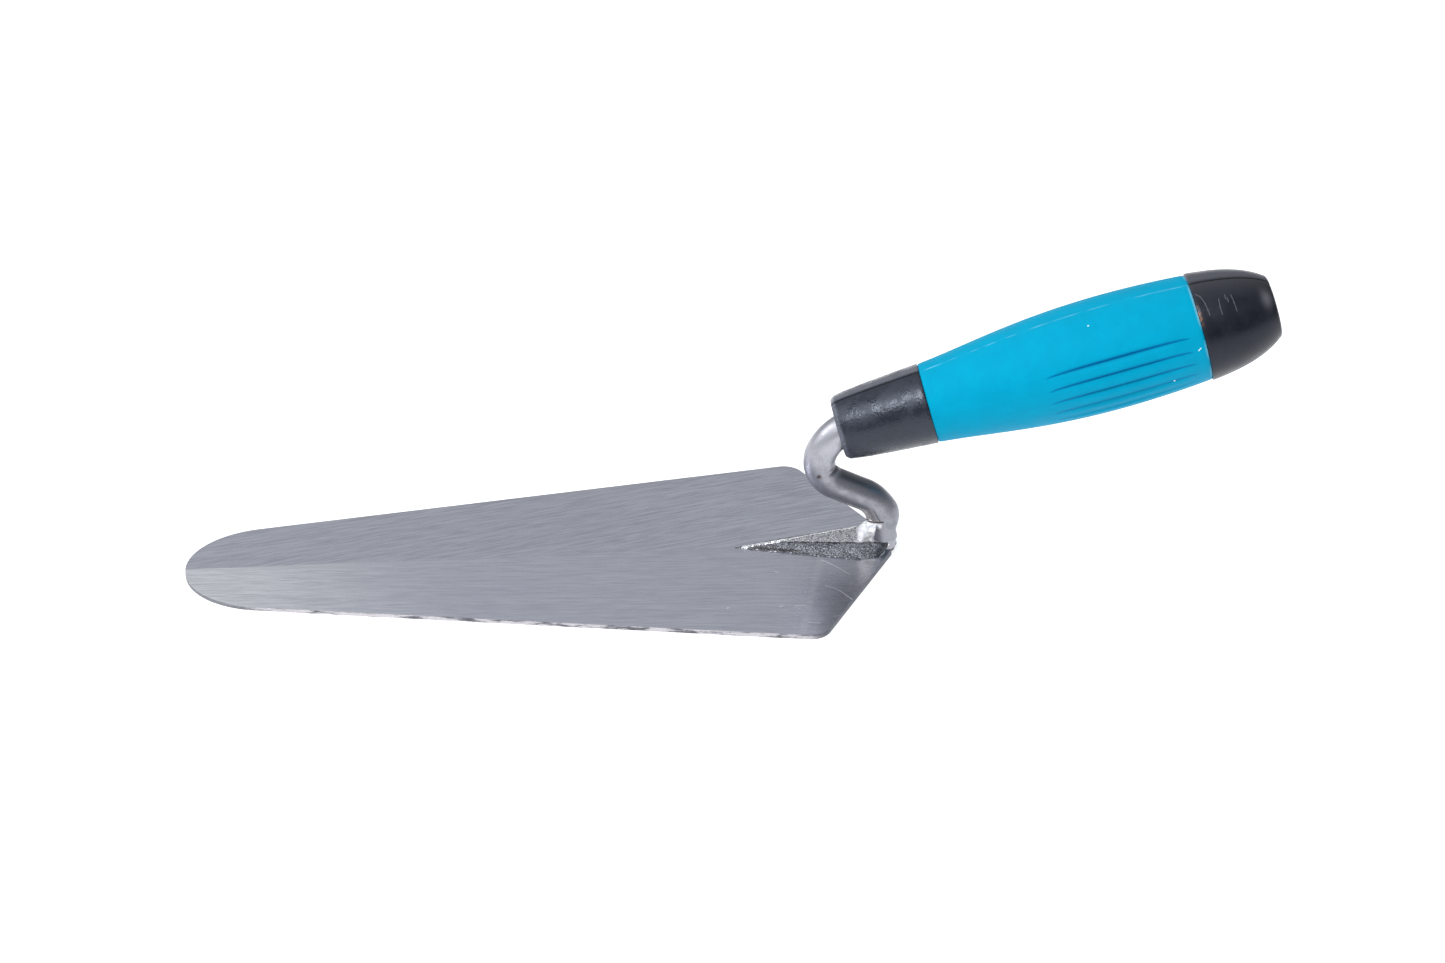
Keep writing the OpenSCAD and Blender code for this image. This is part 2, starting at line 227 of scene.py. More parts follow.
def fit(piece, material_slot, stands_for, *materials):
    """Gives a piece its materials, and lets it ride on the frame in place of its CAD node."""
    for material in materials:
        piece.data.materials.append(material)
    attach(piece, "root")
    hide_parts(stands_for)


def read(items, name, width=1, kind=float):
    """One property of all of a mesh's points, corners or faces, with a row for each."""
    values = np.empty(width * len(items), dtype=kind)
    items.foreach_get(name, values)
    return values.reshape(-1, width) if width > 1 else values


def mark(piece, name, field):
    """Stores field(points in mm) on the piece's points, for its material to read."""
    layer = piece.data.attributes.new(name, "FLOAT", "POINT")
    layer.data.foreach_set("value", field(read(piece.data.vertices, "co", 3) / MM).astype(np.float32))


def blade_half_outline():
    """x and half width from tip to heel: half ellipse, its tangent to the shoulder, shoulder arc, heel line."""
    tip_x, shoulder = heel_x - blade_length, np.array((heel_x - shoulder_back, blade_half_width))
    reach = np.array(((shoulder[0] - tip_x - tip_length) / tip_length, shoulder[1] / tip_half_width))
    side_angle = np.arctan2(reach[1], reach[0]) + np.arccos(1 / np.linalg.norm(reach))
    turn = np.pi - (np.pi - side_angle) * np.linspace(0, 1, 40)
    ellipse = np.stack([tip_x + tip_length * (1 + np.cos(turn)), tip_half_width * np.sin(turn)], axis=1)
    heel = np.array((heel_x, heel_half_width))
    along = (ellipse[-1] - shoulder) / np.linalg.norm(ellipse[-1] - shoulder)
    down = (heel - shoulder) / np.linalg.norm(heel - shoulder)
    half_corner = np.arccos(along @ down) / 2
    centre = shoulder + shoulder_r / np.sin(half_corner) * (along + down) / np.linalg.norm(along + down)
    middle = np.arctan2(*(shoulder - centre)[::-1])
    bend = middle - (np.pi / 2 - half_corner) * np.linspace(-1, 1, 17)
    arc = centre + shoulder_r * np.stack([np.cos(bend), np.sin(bend)], axis=1)
    side = ellipse[-1] + (arc[0] - ellipse[-1]) * np.linspace(0, 1, 161)[1:-1, None]
    back = arc[-1] + (heel - arc[-1]) * np.linspace(0, 1, 49)[1:, None]
    return np.concatenate([ellipse, side, arc, back])


def mirrored(x, bottom, side, top):
    """Rings across x from one side's points (y, z), between a bottom and a top height on the middle line."""
    y = np.concatenate([0 * x] + [p[0] for p in side] + [0 * x] + [-p[0] for p in side[::-1]], axis=1)
    z = np.concatenate([bottom] + [p[1] for p in side] + [top] + [p[1] for p in side[::-1]], axis=1)
    return np.stack([np.broadcast_to(x, y.shape), y, z], axis=-1)


def blade_rings():
    """Cross-sections along the blade: flat below, an upright torn wall, then the ground face up to the ridge."""
    outline = blade_half_outline()
    x, half = outline[:, :1], outline[:, 1:]
    inset = np.minimum(0.04, 0.3 * half)
    torn = 0.03 * lumps(np.stack([x, 3 * half, 0 * x], axis=-1), 3.0, 4) * (half > 1)
    top = blade_top(x, half)
    wall = [(half - inset, 0 * top), (half - torn / 2, 0.10 + 0 * top), (half + torn, 0.45 * top),
            (half - 0.01 + torn / 2, top - 0.05), (half - inset, top - 0.005)]
    inward = [(half * share, blade_top(x, half * share)) for share in (0.985, 0.9, 0.75, 0.5, 0.25, 0.1, 0.03)]
    return mirrored(x, 0 * top, [(half * 0.5, 0 * top)] + wall + inward, ridge(x))


def new_group(name, inputs, outputs):
    """A shader node group, with its tree, its inputs and its outputs."""
    group = bpy.data.node_groups.new(name, "ShaderNodeTree")
    for label, kind, value in inputs:
        group.interface.new_socket(label, in_out="INPUT", socket_type="NodeSocket" + kind)
        if value is not None:
            group.interface.items_tree[label].default_value = value
    for label, kind in outputs:
        group.interface.new_socket(label, in_out="OUTPUT", socket_type="NodeSocket" + kind)
    return group, group.nodes.new("NodeGroupInput").outputs, group.nodes.new("NodeGroupOutput").inputs


def split(place):
    """The x, y and z of a place."""
    return node(tree_of(place), "SeparateXYZ", {0: place}).outputs


def noise(place, scale, detail, roughness):
    """Cloudy noise; a scale of 1 has clouds of about a millimetre."""
    return node(tree_of(place), "TexNoise", {"Vector": place, "Scale": scale, "Detail": detail,
                                              "Roughness": roughness}).outputs[0]


# Lines that a grinding belt leaves: noise drawn out along the belt's direction, in two widths
grind_lines, taken, given = new_group(
    "grind_lines",
    [("Place", "Vector", None), ("Angle", "Float", 0.0), ("Length", "Float", 20.0), ("Width", "Float", 0.5)],
    [("Lines", "Float"), ("Fine", "Float")])
turned = node(grind_lines, "VectorRotate", {
    "Vector": taken["Place"], "Angle": number("MULTIPLY", taken["Angle"], -1.0)},
    rotation_type="Z_AXIS").outputs[0]
stretch = node(grind_lines, "CombineXYZ", {0: taken["Length"], 1: taken["Width"], 2: taken["Width"]}).outputs[0]
drawn = vector("DIVIDE", turned, stretch)
grind_lines.links.new(noise(drawn, 1.0, 3.0, 0.6), given["Lines"])
grind_lines.links.new(noise(drawn, 4.0, 2.0, 0.6), given["Fine"])

# One straight scratch between two points, fading out to its sides
scratch_line, taken, given = new_group(
    "scratch_line",
    [("Place", "Vector", None), ("From", "Vector", None), ("To", "Vector", None), ("Width", "Float", 0.2)],
    [("Mask", "Float")])
reach = vector("SUBTRACT", taken["To"], taken["From"])
offset = vector("SUBTRACT", taken["Place"], taken["From"])
run = number("DIVIDE", vector("DOT_PRODUCT", offset, reach),
             vector("DOT_PRODUCT", reach, reach))
nearest = node(scratch_line, "VectorMath", {0: reach, "Scale": node(scratch_line, "Clamp", {0: run}).outputs[0]},
               operation="SCALE").outputs[0]
from_line = number("DIVIDE", vector("DISTANCE", offset, nearest), taken["Width"])
scratch_line.links.new(between(from_line, 0.5, 1.0, 1.0, 0.0), given["Mask"])

# Loose specks: one small dot in some of the cells of a random net
dust, taken, given = new_group(
    "dust", [("Place", "Vector", None), ("Cell", "Float", 4.0), ("Size", "Float", 0.15), ("Share", "Float", 0.2)],
    [("Mask", "Float")])
cells = node(dust, "TexVoronoi", {
    "Vector": node(dust, "VectorMath", {0: taken["Place"], "Scale": number("DIVIDE", 1.0, taken["Cell"])},
                   operation="SCALE").outputs[0], "Scale": 1.0})
dot = number("LESS_THAN", cells.outputs["Distance"], number("DIVIDE", taken["Size"], taken["Cell"]))
cell_pick = node(dust, "SeparateColor", {0: cells.outputs["Color"]}).outputs[0]
dust.links.new(number("MULTIPLY", dot, number("LESS_THAN", cell_pick, taken["Share"])), given["Mask"])


def ground_lines(place, angle, length, width):
    """The belt's lines and their finer ones."""
    return node(tree_of(place), "Group", {"Place": place, "Angle": angle, "Length": length, "Width": width},
                node_tree=grind_lines).outputs


def scratch(place, start, end, width):
    """The mask of one scratch."""
    return node(tree_of(place), "Group", {"Place": place, "From": start, "To": end, "Width": width},
                node_tree=scratch_line).outputs[0]


def specks(place, cell, size, share):
    """The mask of loose specks."""
    return node(tree_of(place), "Group", {"Place": place, "Cell": cell, "Size": size, "Share": share},
                node_tree=dust).outputs[0]


def times(first, *others):
    """The product of shares."""
    for other in others:
        first = number("MULTIPLY", first, other)
    return first


def slant(first, second, share, shift=0.0):
    """The first value plus a share of the second and a shift: constant along slanting lines."""
    return number("ADD", number("ADD", first, times(second, share)), shift)


def near_zero(value, core, fade, share=1.0):
    """A share where the value lies within core of zero, easing to nothing at fade."""
    return between(number("ABSOLUTE", value), core, fade, share, 0.0)


def mixed(share, first, second):
    """The first colour, going over into the second by the given share."""
    first, second = ((*colour, 1) if isinstance(colour, tuple) else colour for colour in (first, second))
    return node(tree_of(share), "Mix", {0: share, 6: first, 7: second}, data_type="RGBA").outputs[2]


def laid_over(base, *layers):
    """A colour with others laid over it in turn, each given by its share and its colour."""
    for share, colour in layers:
        base = mixed(share, base, colour)
    return base


def new_material(name, metallic=0.0, specular=0.5):
    """A material, its node tree, its Principled BSDF, and the piece's own coordinates in mm."""
    material = bpy.data.materials.new(name)
    material.use_nodes = True
    tree = material.node_tree
    shader = tree.nodes["Principled BSDF"]
    shader.inputs["Metallic"].default_value = metallic
    shader.inputs["Specular IOR Level"].default_value = specular
    place = node(tree, "VectorMath", {0: node(tree, "TexCoord").outputs["Object"], "Scale": 1000.0},
                 operation="SCALE").outputs[0]
    return material, tree, shader, place


def finish_with(shader, colour, roughness, height, depth):
    """Links colour, roughness and a bump whose height of 1 stands for depth in mm."""
    bump = node(shader.id_data, "Bump", {"Height": height, "Distance": depth * MM, "Strength": 1.0})
    for socket, value in (("Base Color", colour), ("Roughness", roughness), ("Normal", bump.outputs[0])):
        shader.id_data.links.new(value, shader.inputs[socket])


ground_steel, tree, shader, place = new_material("ground_steel", metallic=1.0)
shader.inputs["Anisotropic"].default_value = 0.4
tree.links.new(node(tree, "Tangent", direction_type="UV_MAP", uv_map="across_grind").outputs[0],
               shader.inputs["Tangent"])
x_mm, y_mm, z_mm = split(place)
far_half = number("GREATER_THAN", y_mm, 0.0)
near_half = number("SUBTRACT", 1.0, far_half)
angle = between(far_half, 0.0, 1.0, np.radians(near_grind), np.radians(far_grind))
belt = ground_lines(place, angle, 7.0, 0.20)
hairs = ground_lines(place, angle, 24.0, 0.8)
streaks = number("ADD", times(belt["Lines"], 0.7), times(hairs["Lines"], 0.3))
streak_share = times(between(streaks, 0.42, 0.60), between(far_half, 0.0, 1.0, 0.38, 0.52))
# Painted reflection: the near half darkens towards the heel, where it mirrors the dark handle.
heel_dark_reflection = between(slant(x_mm, y_mm, -0.25), -20.0, 4.0, 0.0, 0.30)
# Painted reflection: a dark patch beside the foot on the near half.
dark_reflection_beside_foot = between(slant(x_mm, y_mm, -0.46, 4.5), -0.8, 3.0, 0.0, 0.32)
# Painted reflection: a light streak slanting across the near half by the heel.
reflection_streak_at_heel = near_zero(slant(x_mm, y_mm, -0.245, 14.8), 0.2, 1.6, 0.22)
# Painted light: the halves' different base tones, the near half lightened towards the tip and the far half towards
# the heel stand in for the tent's reflection in the steel.
base = laid_over(
    mixed(far_half, (0.675, 0.685, 0.755), (0.72, 0.73, 0.797)),
    (times(between(x_mm, -182.0, -105.0, 1.0, 0.0), near_half), (0.985, 0.99, 1.0)),
    (times(between(x_mm, -90.0, 0.0, 0.0, 0.5), far_half), (0.85, 0.865, 0.94)),
    (streak_share, (0.36, 0.37, 0.43)),
    (times(heel_dark_reflection, near_half), (0.30, 0.31, 0.35)),
    (times(dark_reflection_beside_foot, near_half), (0.40, 0.40, 0.41)),
    (times(reflection_streak_at_heel, near_half), (0.88, 0.88, 0.90)),
    # Two light streaks inside the dark patch beside the foot are painted reflection too.
    (times(scratch(place, (-3.3, -6.8, 1.9), (-6.7, -16.4, 1.7), 1.4), 0.2), (0.78, 0.75, 0.72)),
    (times(scratch(place, (-4.9, -7.7, 1.85), (-2.9, -7.9, 1.85), 0.55), 0.6), (1.0, 0.98, 0.95)))
worn = between(noise(place, 2.5, 2.0, 0.7), 0.35, 0.5, 0.6, 1.0)
for start, end, width in (
        ((-16.3, -6.9), (-13.7, -9.2), 0.22), ((-13.7, -9.2), (-9.7, -13.9), 0.14),
        ((-16.4, -18.4), (-15.1, -19.0), 0.22), ((-15.1, -19.0), (-13.1, -20.8), 0.20),
        ((-13.1, -20.8), (-10.3, -25.0), 0.24), ((-28.7, -11.2), (-27.7, -11.8), 0.16),
        ((-28.9, -26.7), (-28.0, -26.4), 0.24), ((-25.0, -26.7), (-22.2, -26.7), 0.20),
        ((-42.0, -26.5), (-41.6, -26.3), 0.24), ((-22.5, -33.8), (-19.5, -34.5), 0.16),
        ((-15.8, -31.8), (-13.2, -31.5), 0.14)):
    line = scratch(place, (*start, blade_top(*start)), (*end, blade_top(*end)), width)
    base = mixed(times(line, worn), base, (1.0, 1.0, 1.0))
base = mixed(times(specks(place, 7.0, 0.16, 0.25), 0.5), base, (0.25, 0.25, 0.28))
finish_with(shader, base, between(belt["Fine"], 0.3, 0.7, 0.26, 0.36), streaks, 0.016)

torn_edge, tree, shader, place = new_material("torn_edge", metallic=1.0)
tear = noise(node(tree, "Mapping", {0: place, 3: (0.07, 0.07, 0.5)}).outputs[0], 2.0, 5.0, 0.75)
x_mm = split(place)[0]
base = laid_over(
    mixed(between(tear, 0.40, 0.52), (0.17, 0.17, 0.195), (0.58, 0.56, 0.59)),
    (between(x_mm, -24.0, -18.0), (0.16, 0.165, 0.19)),
    (between(x_mm, -168.0, -158.0, 1.0, 0.0), (0.24, 0.245, 0.27)))
finish_with(shader, base, between(tear, 0.3, 0.7, 0.65, 0.45), tear, 0.25)

ground_blade = skin("ground_blade", blade_rings(), sharp=30)
fit(ground_blade, "blade_steel", "blade", ground_steel, torn_edge)

# The upright walls get the torn edge, and the faces a map along which the steel shines across its grinding lines
mesh = ground_blade.data
steep = np.abs(read(mesh.polygons, "normal", 3)[:, 2]) < 0.9
mesh.polygons.foreach_set("material_index", steep.astype(np.int32))
spot = read(mesh.vertices, "co", 3)[read(mesh.loops, "vertex_index", kind=np.int32)]
side_y = np.repeat(read(mesh.polygons, "center", 3)[:, 1], read(mesh.polygons, "loop_total", kind=np.int32))
grind = np.radians(np.where(side_y > 0, far_grind, near_grind))
uv = np.stack([spot[:, 1] * np.cos(grind) - spot[:, 0] * np.sin(grind),
               spot[:, 0] * np.cos(grind) + spot[:, 1] * np.sin(grind)], axis=1) * 5
mesh.uv_layers.new(name="across_grind").data.foreach_set("uv", uv.ravel().astype(np.float32))

# A flag keeps the top soft box off the blade, which would mirror it as a white patch
flagged = bpy.data.collections.new("flagged_from_top_box")
flagged.objects.link(ground_blade)
flagged.collection_objects[0].light_linking.link_state = "EXCLUDE"
top_box.light_linking.receiver_collection = flagged


# --- Foot ---
# Drop-forged steel wedge that carries the neck, laid along the blade's middle and welded round its rim.
# Its skin is as forged: grey and granular above, dark with scale on its sloping sides.

foot_point_x, narrow_x, seat_x, foot_end_x = -37.8, -24.7, -6.3, 3.75
narrow_half, seat_half, end_half = 0.5, 3.85, 4.05
foot_reach = np.concatenate([np.linspace(foot_point_x, -6, 110), np.linspace(-5.7, 0, 20),
                             foot_end_x * np.sin(np.linspace(0.08, np.pi / 2, 20))])


def foot_rings():
    """Cross-sections along the wedge: flat below, sloping sides that bulge a little, a crowned top between
    two rounded edges. Behind the bar's axis both outlines turn in along a circle."""
    x = foot_reach[:, None]
    round_end = end_half * np.sqrt(np.clip(1 - (np.clip(x, 0, None) / foot_end_x) ** 2, 0, None))
    foot_half = np.interp(x, [foot_point_x, -36.5, -30, -6, -4, -2, -0.5, 0.6],
                          [0.0, 0.5, 1.95, 7.35, 7.6, 7.25, 5.9, 4.3])
    foot_half = np.where(x > 0, np.minimum(foot_half, round_end + np.clip(1.8 - 2.6 * x, 0, None)), foot_half)
    top_half = np.interp(x, [foot_point_x, -36.5, narrow_x, seat_x, 0], [0.0, 0.12, narrow_half, seat_half, 4.0])
    top_half = np.minimum(top_half, round_end * 0.985)
    height = np.interp(x, [foot_point_x, -36, narrow_x, -5, 4.05], [1.84, 2.15, 3.65, 4.75, 4.82])
    under = ridge(np.minimum(x, heel_x)) - 0.12 - face_slope * foot_half
    sides = []
    for share, bulge in ((0.0, 0.0), (0.06, 0.02), (0.3, 0.18), (0.6, 0.24), (0.85, 0.16), (0.95, 0.05)):
        lift = bulge * np.minimum(1, foot_half / 4)
        sides.append((foot_half + (top_half - foot_half) * share + 0.5 * lift,
                      under + (height - under) * share + 0.6 * lift))
    sides += [(top_half, height - 0.02), (top_half * 0.93, height + 0.03)]
    sides += [(top_half * share, height + 0.05 + 0.06 * (1 - share)) for share in (0.8, 0.5, 0.2)]
    rings = mirrored(x, under, sides, height + 0.12)
    rough = (np.clip((rings[..., 2:] - under[..., None]) / 0.6, 0, 1)
             * np.clip((x[..., None] - foot_point_x) / 3, 0, 1))
    swell = 0.10 * lumps(rings, 6, 1)[..., None] + 0.05 * lumps(rings, 1.6, 2)[..., None]
    outward = np.sign(rings[..., 1:2]) * (0, 0.5, 0) + (0, 0, 0.8)
    return rings + rough * swell * outward


forged_skin, tree, shader, place = new_material("forged_skin", metallic=1.0)
x_mm, y_mm, z_mm = split(place)
grains = node(tree, "TexVoronoi", {"Vector": place, "Scale": 2.4, "Randomness": 1.0}).outputs["Distance"]
coarse = noise(place, 0.9, 4.0, 0.65)
fine = noise(place, 3.6, 3.0, 0.75)
grit = number("ADD", times(grains, 0.4), times(fine, 0.6))
drawn = ground_lines(place, 0.0, 3.0, 0.32)["Lines"]
top_edge = node(tree, "MapRange", {0: x_mm, 1: narrow_x, 2: seat_x, 3: narrow_half, 4: seat_half}).outputs[0]
from_near_edge = number("ADD", y_mm, top_edge)
from_far_edge = number("SUBTRACT", y_mm, top_edge)

light_skin = mixed(between(grit, 0.40, 0.56), (1.0, 1.0, 1.0), (0.34, 0.35, 0.38))
dark_skin = laid_over(
    mixed(between(drawn, 0.40, 0.62), (0.16, 0.168, 0.185), (0.07, 0.073, 0.082)),
    (between(grit, 0.44, 0.58, 0.0, 0.75), (0.035, 0.035, 0.042)),
    (between(fine, 0.38, 0.44, 0.6, 0.0), (0.36, 0.37, 0.40)))

# The dark seam under the near edge, scale low on the point, and a painted highlight along the far rim
seam = times(near_zero(number("ADD", from_near_edge, 0.1), 0.12, 0.34),
             between(x_mm, -27.0, -14.0, 0.4, 1.0), between(x_mm, 0.8, 1.6, 1.0, 0.0),
             between(coarse, 0.44, 0.57, 0.1, 0.9))
scale_edge = slant(z_mm, coarse, 1.2, -0.6)
scale_low = times(between(scale_edge, 1.9, 2.1), between(scale_edge, 2.3, 2.6, 1.0, 0.0),
                  between(x_mm, -34.0, -31.0), between(x_mm, -24.0, -19.0, 1.0, 0.1),
                  between(coarse, 0.35, 0.5, 0.4, 0.95))
rim = times(near_zero(from_far_edge, 0.22, 0.5), between(x_mm, -30.0, -24.0, 0.5, 1.0),
            between(x_mm, -7.0, -5.0, 1.0, 0.0))

# The rear: dressed behind a slanting line, painted shade in the recess before it, a painted shadow where the foot
# overhangs the blade, and a painted highlight along its curled rim
over_line = times(number("SUBTRACT", z_mm, 1.95), 0.85)
behind_line = number("SUBTRACT", x_mm, number("MINIMUM", over_line, 1.45))
dressed = times(between(behind_line, 0.0, 0.25), between(x_mm, -0.2, 0.1))
corner = number("SUBTRACT", times(number("SUBTRACT", z_mm, 2.9), 0.72),
                number("ABSOLUTE", number("SUBTRACT", x_mm, 0.15)))
painted_hollow_shade = times(between(corner, -0.1, 0.15), between(y_mm, -3.2, -2.6, 1.0, 0.0))
painted_gap_shadow = times(between(z_mm, 1.75, 2.05, 1.0, 0.0), between(x_mm, 0.3, 0.6))
painted_curl_highlight = number("MAXIMUM", scratch(place, (1.5, -3.8, 3.7), (0.1, -5.0, 2.05), 0.22),
              scratch(place, (0.1, -5.0, 2.05), (-1.2, -6.5, 1.8), 0.22))
chips = times(specks(place, 2.2, 0.30, 0.16), between(x_mm, -22.0, -14.0, 0.7, 0.0))
bright = number("MAXIMUM", number("MAXIMUM", rim, painted_curl_highlight), chips)

base = laid_over(
    mixed(between(from_near_edge, -0.1, 0.15), dark_skin, light_skin),
    (between(coarse, 0.54, 0.68, 0.0, 0.45), (0.10, 0.10, 0.12)),
    (seam, (0.02, 0.02, 0.025)),
    (scale_low, (0.03, 0.03, 0.03)),
    (dressed, (0.34, 0.345, 0.385)),
    (painted_hollow_shade, (0.065, 0.068, 0.078)),
    (painted_gap_shadow, (0.01, 0.01, 0.012)),
    (bright, (1.0, 1.0, 1.0)),
    (near_zero(number("ADD", x_mm, 35.1), 0.3, 0.8, 0.6), (0.70, 0.71, 0.75)),
    (between(x_mm, -36.3, -35.8, 0.9, 0.0), (0.04, 0.04, 0.045)))
grit = times(grit, between(dressed, 0.0, 1.0, 1.0, 0.15))
finish_with(shader, base, number("MAXIMUM", between(grit, 0.3, 0.7, 0.34, 0.52), painted_gap_shadow),
            number("ADD", grit, times(rim, 2.8)), 0.14)

forged_foot = skin("forged_foot", foot_rings(), sharp=50)
fit(forged_foot, "forged_steel", "foot", forged_skin)


# --- Beads along the foot ---
# Thin irregular runs of weld that join the foot's two sides to the blade.
# They are left as laid: small bright drops in a dark line.

def foot_bead(side):
    """A round bead carried along the foot's lower edge, whose radius swells and shrinks from drop to drop."""
    t = np.linspace(0, 1, 130)[:, None]
    start, end = np.array((-34.9, 0.75)), np.array((-6.0, 7.55))
    path = start + (end - start) * t
    drops = 0.20 + 0.12 * np.clip(t * 3, 0, 1) + 0.06 * np.sin(t * 150 + 2 * np.sin(t * 31)) + 0.06 * np.sin(t * 67)
    radius = drops * np.clip(np.minimum(t, 1 - t) * 40, 0, 1) ** 0.5
    turn = np.linspace(0, 2 * np.pi, 14, endpoint=False)
    x = path[:, :1] + 0 * turn
    y = path[:, 1:] + radius * np.cos(turn)
    z = ridge(x) - face_slope * path[:, 1:] + 0.05 + radius * 0.75 * np.sin(turn)
    return np.stack([x, side * y, z], axis=-1)


weld_drops, tree, shader, place = new_material("weld_drops", metallic=1.0)
x_mm, y_mm, z_mm = split(place)
beads = noise(place, 1.1, 3.0, 0.6)
shaded = times(between(x_mm, 0.2, 0.6), between(z_mm, 1.2, 1.5))
base = laid_over(mixed(between(beads, 0.56, 0.66), (0.13, 0.135, 0.15), (0.44, 0.45, 0.48)),
                 (shaded, (0.012, 0.012, 0.014)))
rough = number("MAXIMUM", between(beads, 0.3, 0.7, 0.5, 0.25), shaded)
finish_with(shader, base, rough, noise(place, 4.0, 3.0, 0.6), 0.1)

for side, hand in ((1, "left"), (-1, "right")):
    fit(skin("foot_bead_" + hand, foot_bead(side), sharp=60), "weld_metal", "side_weld_" + hand, weld_drops)


# --- Neck ---
# A round steel bar, bent cold from the foot's seat forwards, up, back and into the handle, then polished.
# The tight bend has pinched the metal on its inner side. The tang has pressed flats and two ring grooves.

bar_r, foot_top, low_z, low_bend, mid_bend, top_bend = 4.1, 4.8, 8.65, 9.2, 7.6, 14.2
slope, slope_run, pitch, top_turn = 26.3, 8.2, 16.3, 49.7


def polar(degrees):
    """Points of the unit circle, as x and z."""
    return np.stack([np.cos(np.radians(degrees)), np.sin(np.radians(degrees))], axis=-1)


def bell(offset, width):
    """A bell curve: 1 where the offset is zero, falling off over the given width."""
    return np.exp(-(offset / width) ** 2)


low_centre = np.array((-low_bend, low_z))
slope_start = low_centre + low_bend * polar(90 - slope)
slope_end = slope_start + slope_run * polar(180 - slope)
mid_centre = slope_end - mid_bend * polar(270 - slope)
top_centre = mid_centre + (mid_bend - top_bend) * polar(90 + pitch + top_turn)
tang_start = top_centre + top_bend * polar(90 + pitch)


def bar_rings():
    """Circles carried along the bar's path of lines and arcs. The pinch presses the inner side of the tight
    bend in by a narrow bell curve along the bend and a wide one round the bar. The lowest bend's outer side is
    swollen by another. The tang's radius has its grooves. Behind, the lowest stretch is flattened, as it has
    been dressed down to the foot."""
    bend_low = np.linspace(0, 90 - slope, 26)
    bend_mid = np.linspace(270 - slope, 90 + pitch + top_turn, 60)
    bend_top = np.linspace(90 + pitch + top_turn, 90 + pitch, 28)[1:]
    tang = np.array((0.5, 3, 8, 14, 19.0, 19.7, 26, 32, 38.3, 39, 42, 42.6, 44.4, 45, 48, 48.6, 50.4, 51, 59.2, 60))
    tang_r = np.array((1, 1, 1, 1, 1, 1, 1, 1, 1, 1, 1, .85, .85, 1, 1, .85, .85, 1, 1, .805)) * bar_r
    straight = np.array((0, 0.3, 0.8, 1.2, 2, 3))
    climb = np.linspace(0, slope_run, 10)[1:-1]
    centre = np.concatenate([
        np.stack([0 * straight, foot_top + straight], axis=1), low_centre + low_bend * polar(bend_low),
        slope_start + climb[:, None] * polar(180 - slope), mid_centre + mid_bend * polar(bend_mid),
        top_centre + top_bend * polar(bend_top), tang_start + tang[:, None] * polar(pitch)])
    heading = np.concatenate([0 * straight + 90, bend_low + 90, 0 * climb + 180 - slope, bend_mid - 90,
                              bend_top - 90, 0 * tang + pitch])[:, None]
    radius, flat = np.full((2, len(centre)), bar_r)
    radius[:3] = bar_r - 0.8, bar_r - 0.35, bar_r
    radius[-len(tang):] = tang_r
    flat[-len(tang):] = np.where((tang > 19.5) & (tang < 38.5), bar_r - 0.7, bar_r)
    turn = np.linspace(0, 360, 56, endpoint=False)
    in_mid, in_low = np.full((2, len(centre), 1), 1e3)
    first = len(straight) + len(bend_low) + len(climb)
    in_mid[first:first + len(bend_mid), 0] = bend_mid - 206
    in_low[len(straight):len(straight) + len(bend_low), 0] = bend_low - 16
    pinch = 0.65 * bell(in_mid - 9 * np.sin(np.radians(turn)), 8) * bell((turn - 192 + 180) % 360 - 180, 44)
    swollen = 0.42 * bell(in_low, 13) * np.clip(-np.cos(np.radians(turn)), 0, 1)
    r = radius[:, None] - pinch + swollen
    across = np.clip(r * np.sin(np.radians(turn)), -flat[:, None], flat[:, None])
    xz = centre[:, None] + (r * np.cos(np.radians(turn)))[..., None] * polar(heading + 90)
    dressed = np.interp(xz[..., 1], [4.8, 5.6, 7.0, 8.4, 9.5], [3.6, 3.45, 3.15, 3.6, bar_r])
    behind = (xz[..., 0] > 0) & (xz[..., 1] < 9.5)
    xz[..., 0] = np.where(behind, np.minimum(xz[..., 0], 0.85 * dressed + 0.15 * xz[..., 0]), xz[..., 0])
    return np.stack([xz[..., 0], across, xz[..., 1]], axis=-1)


def field(tree, name):
    """A value that is stored on the piece's points."""
    return node(tree, "Attribute", attribute_name=name).outputs["Fac"]


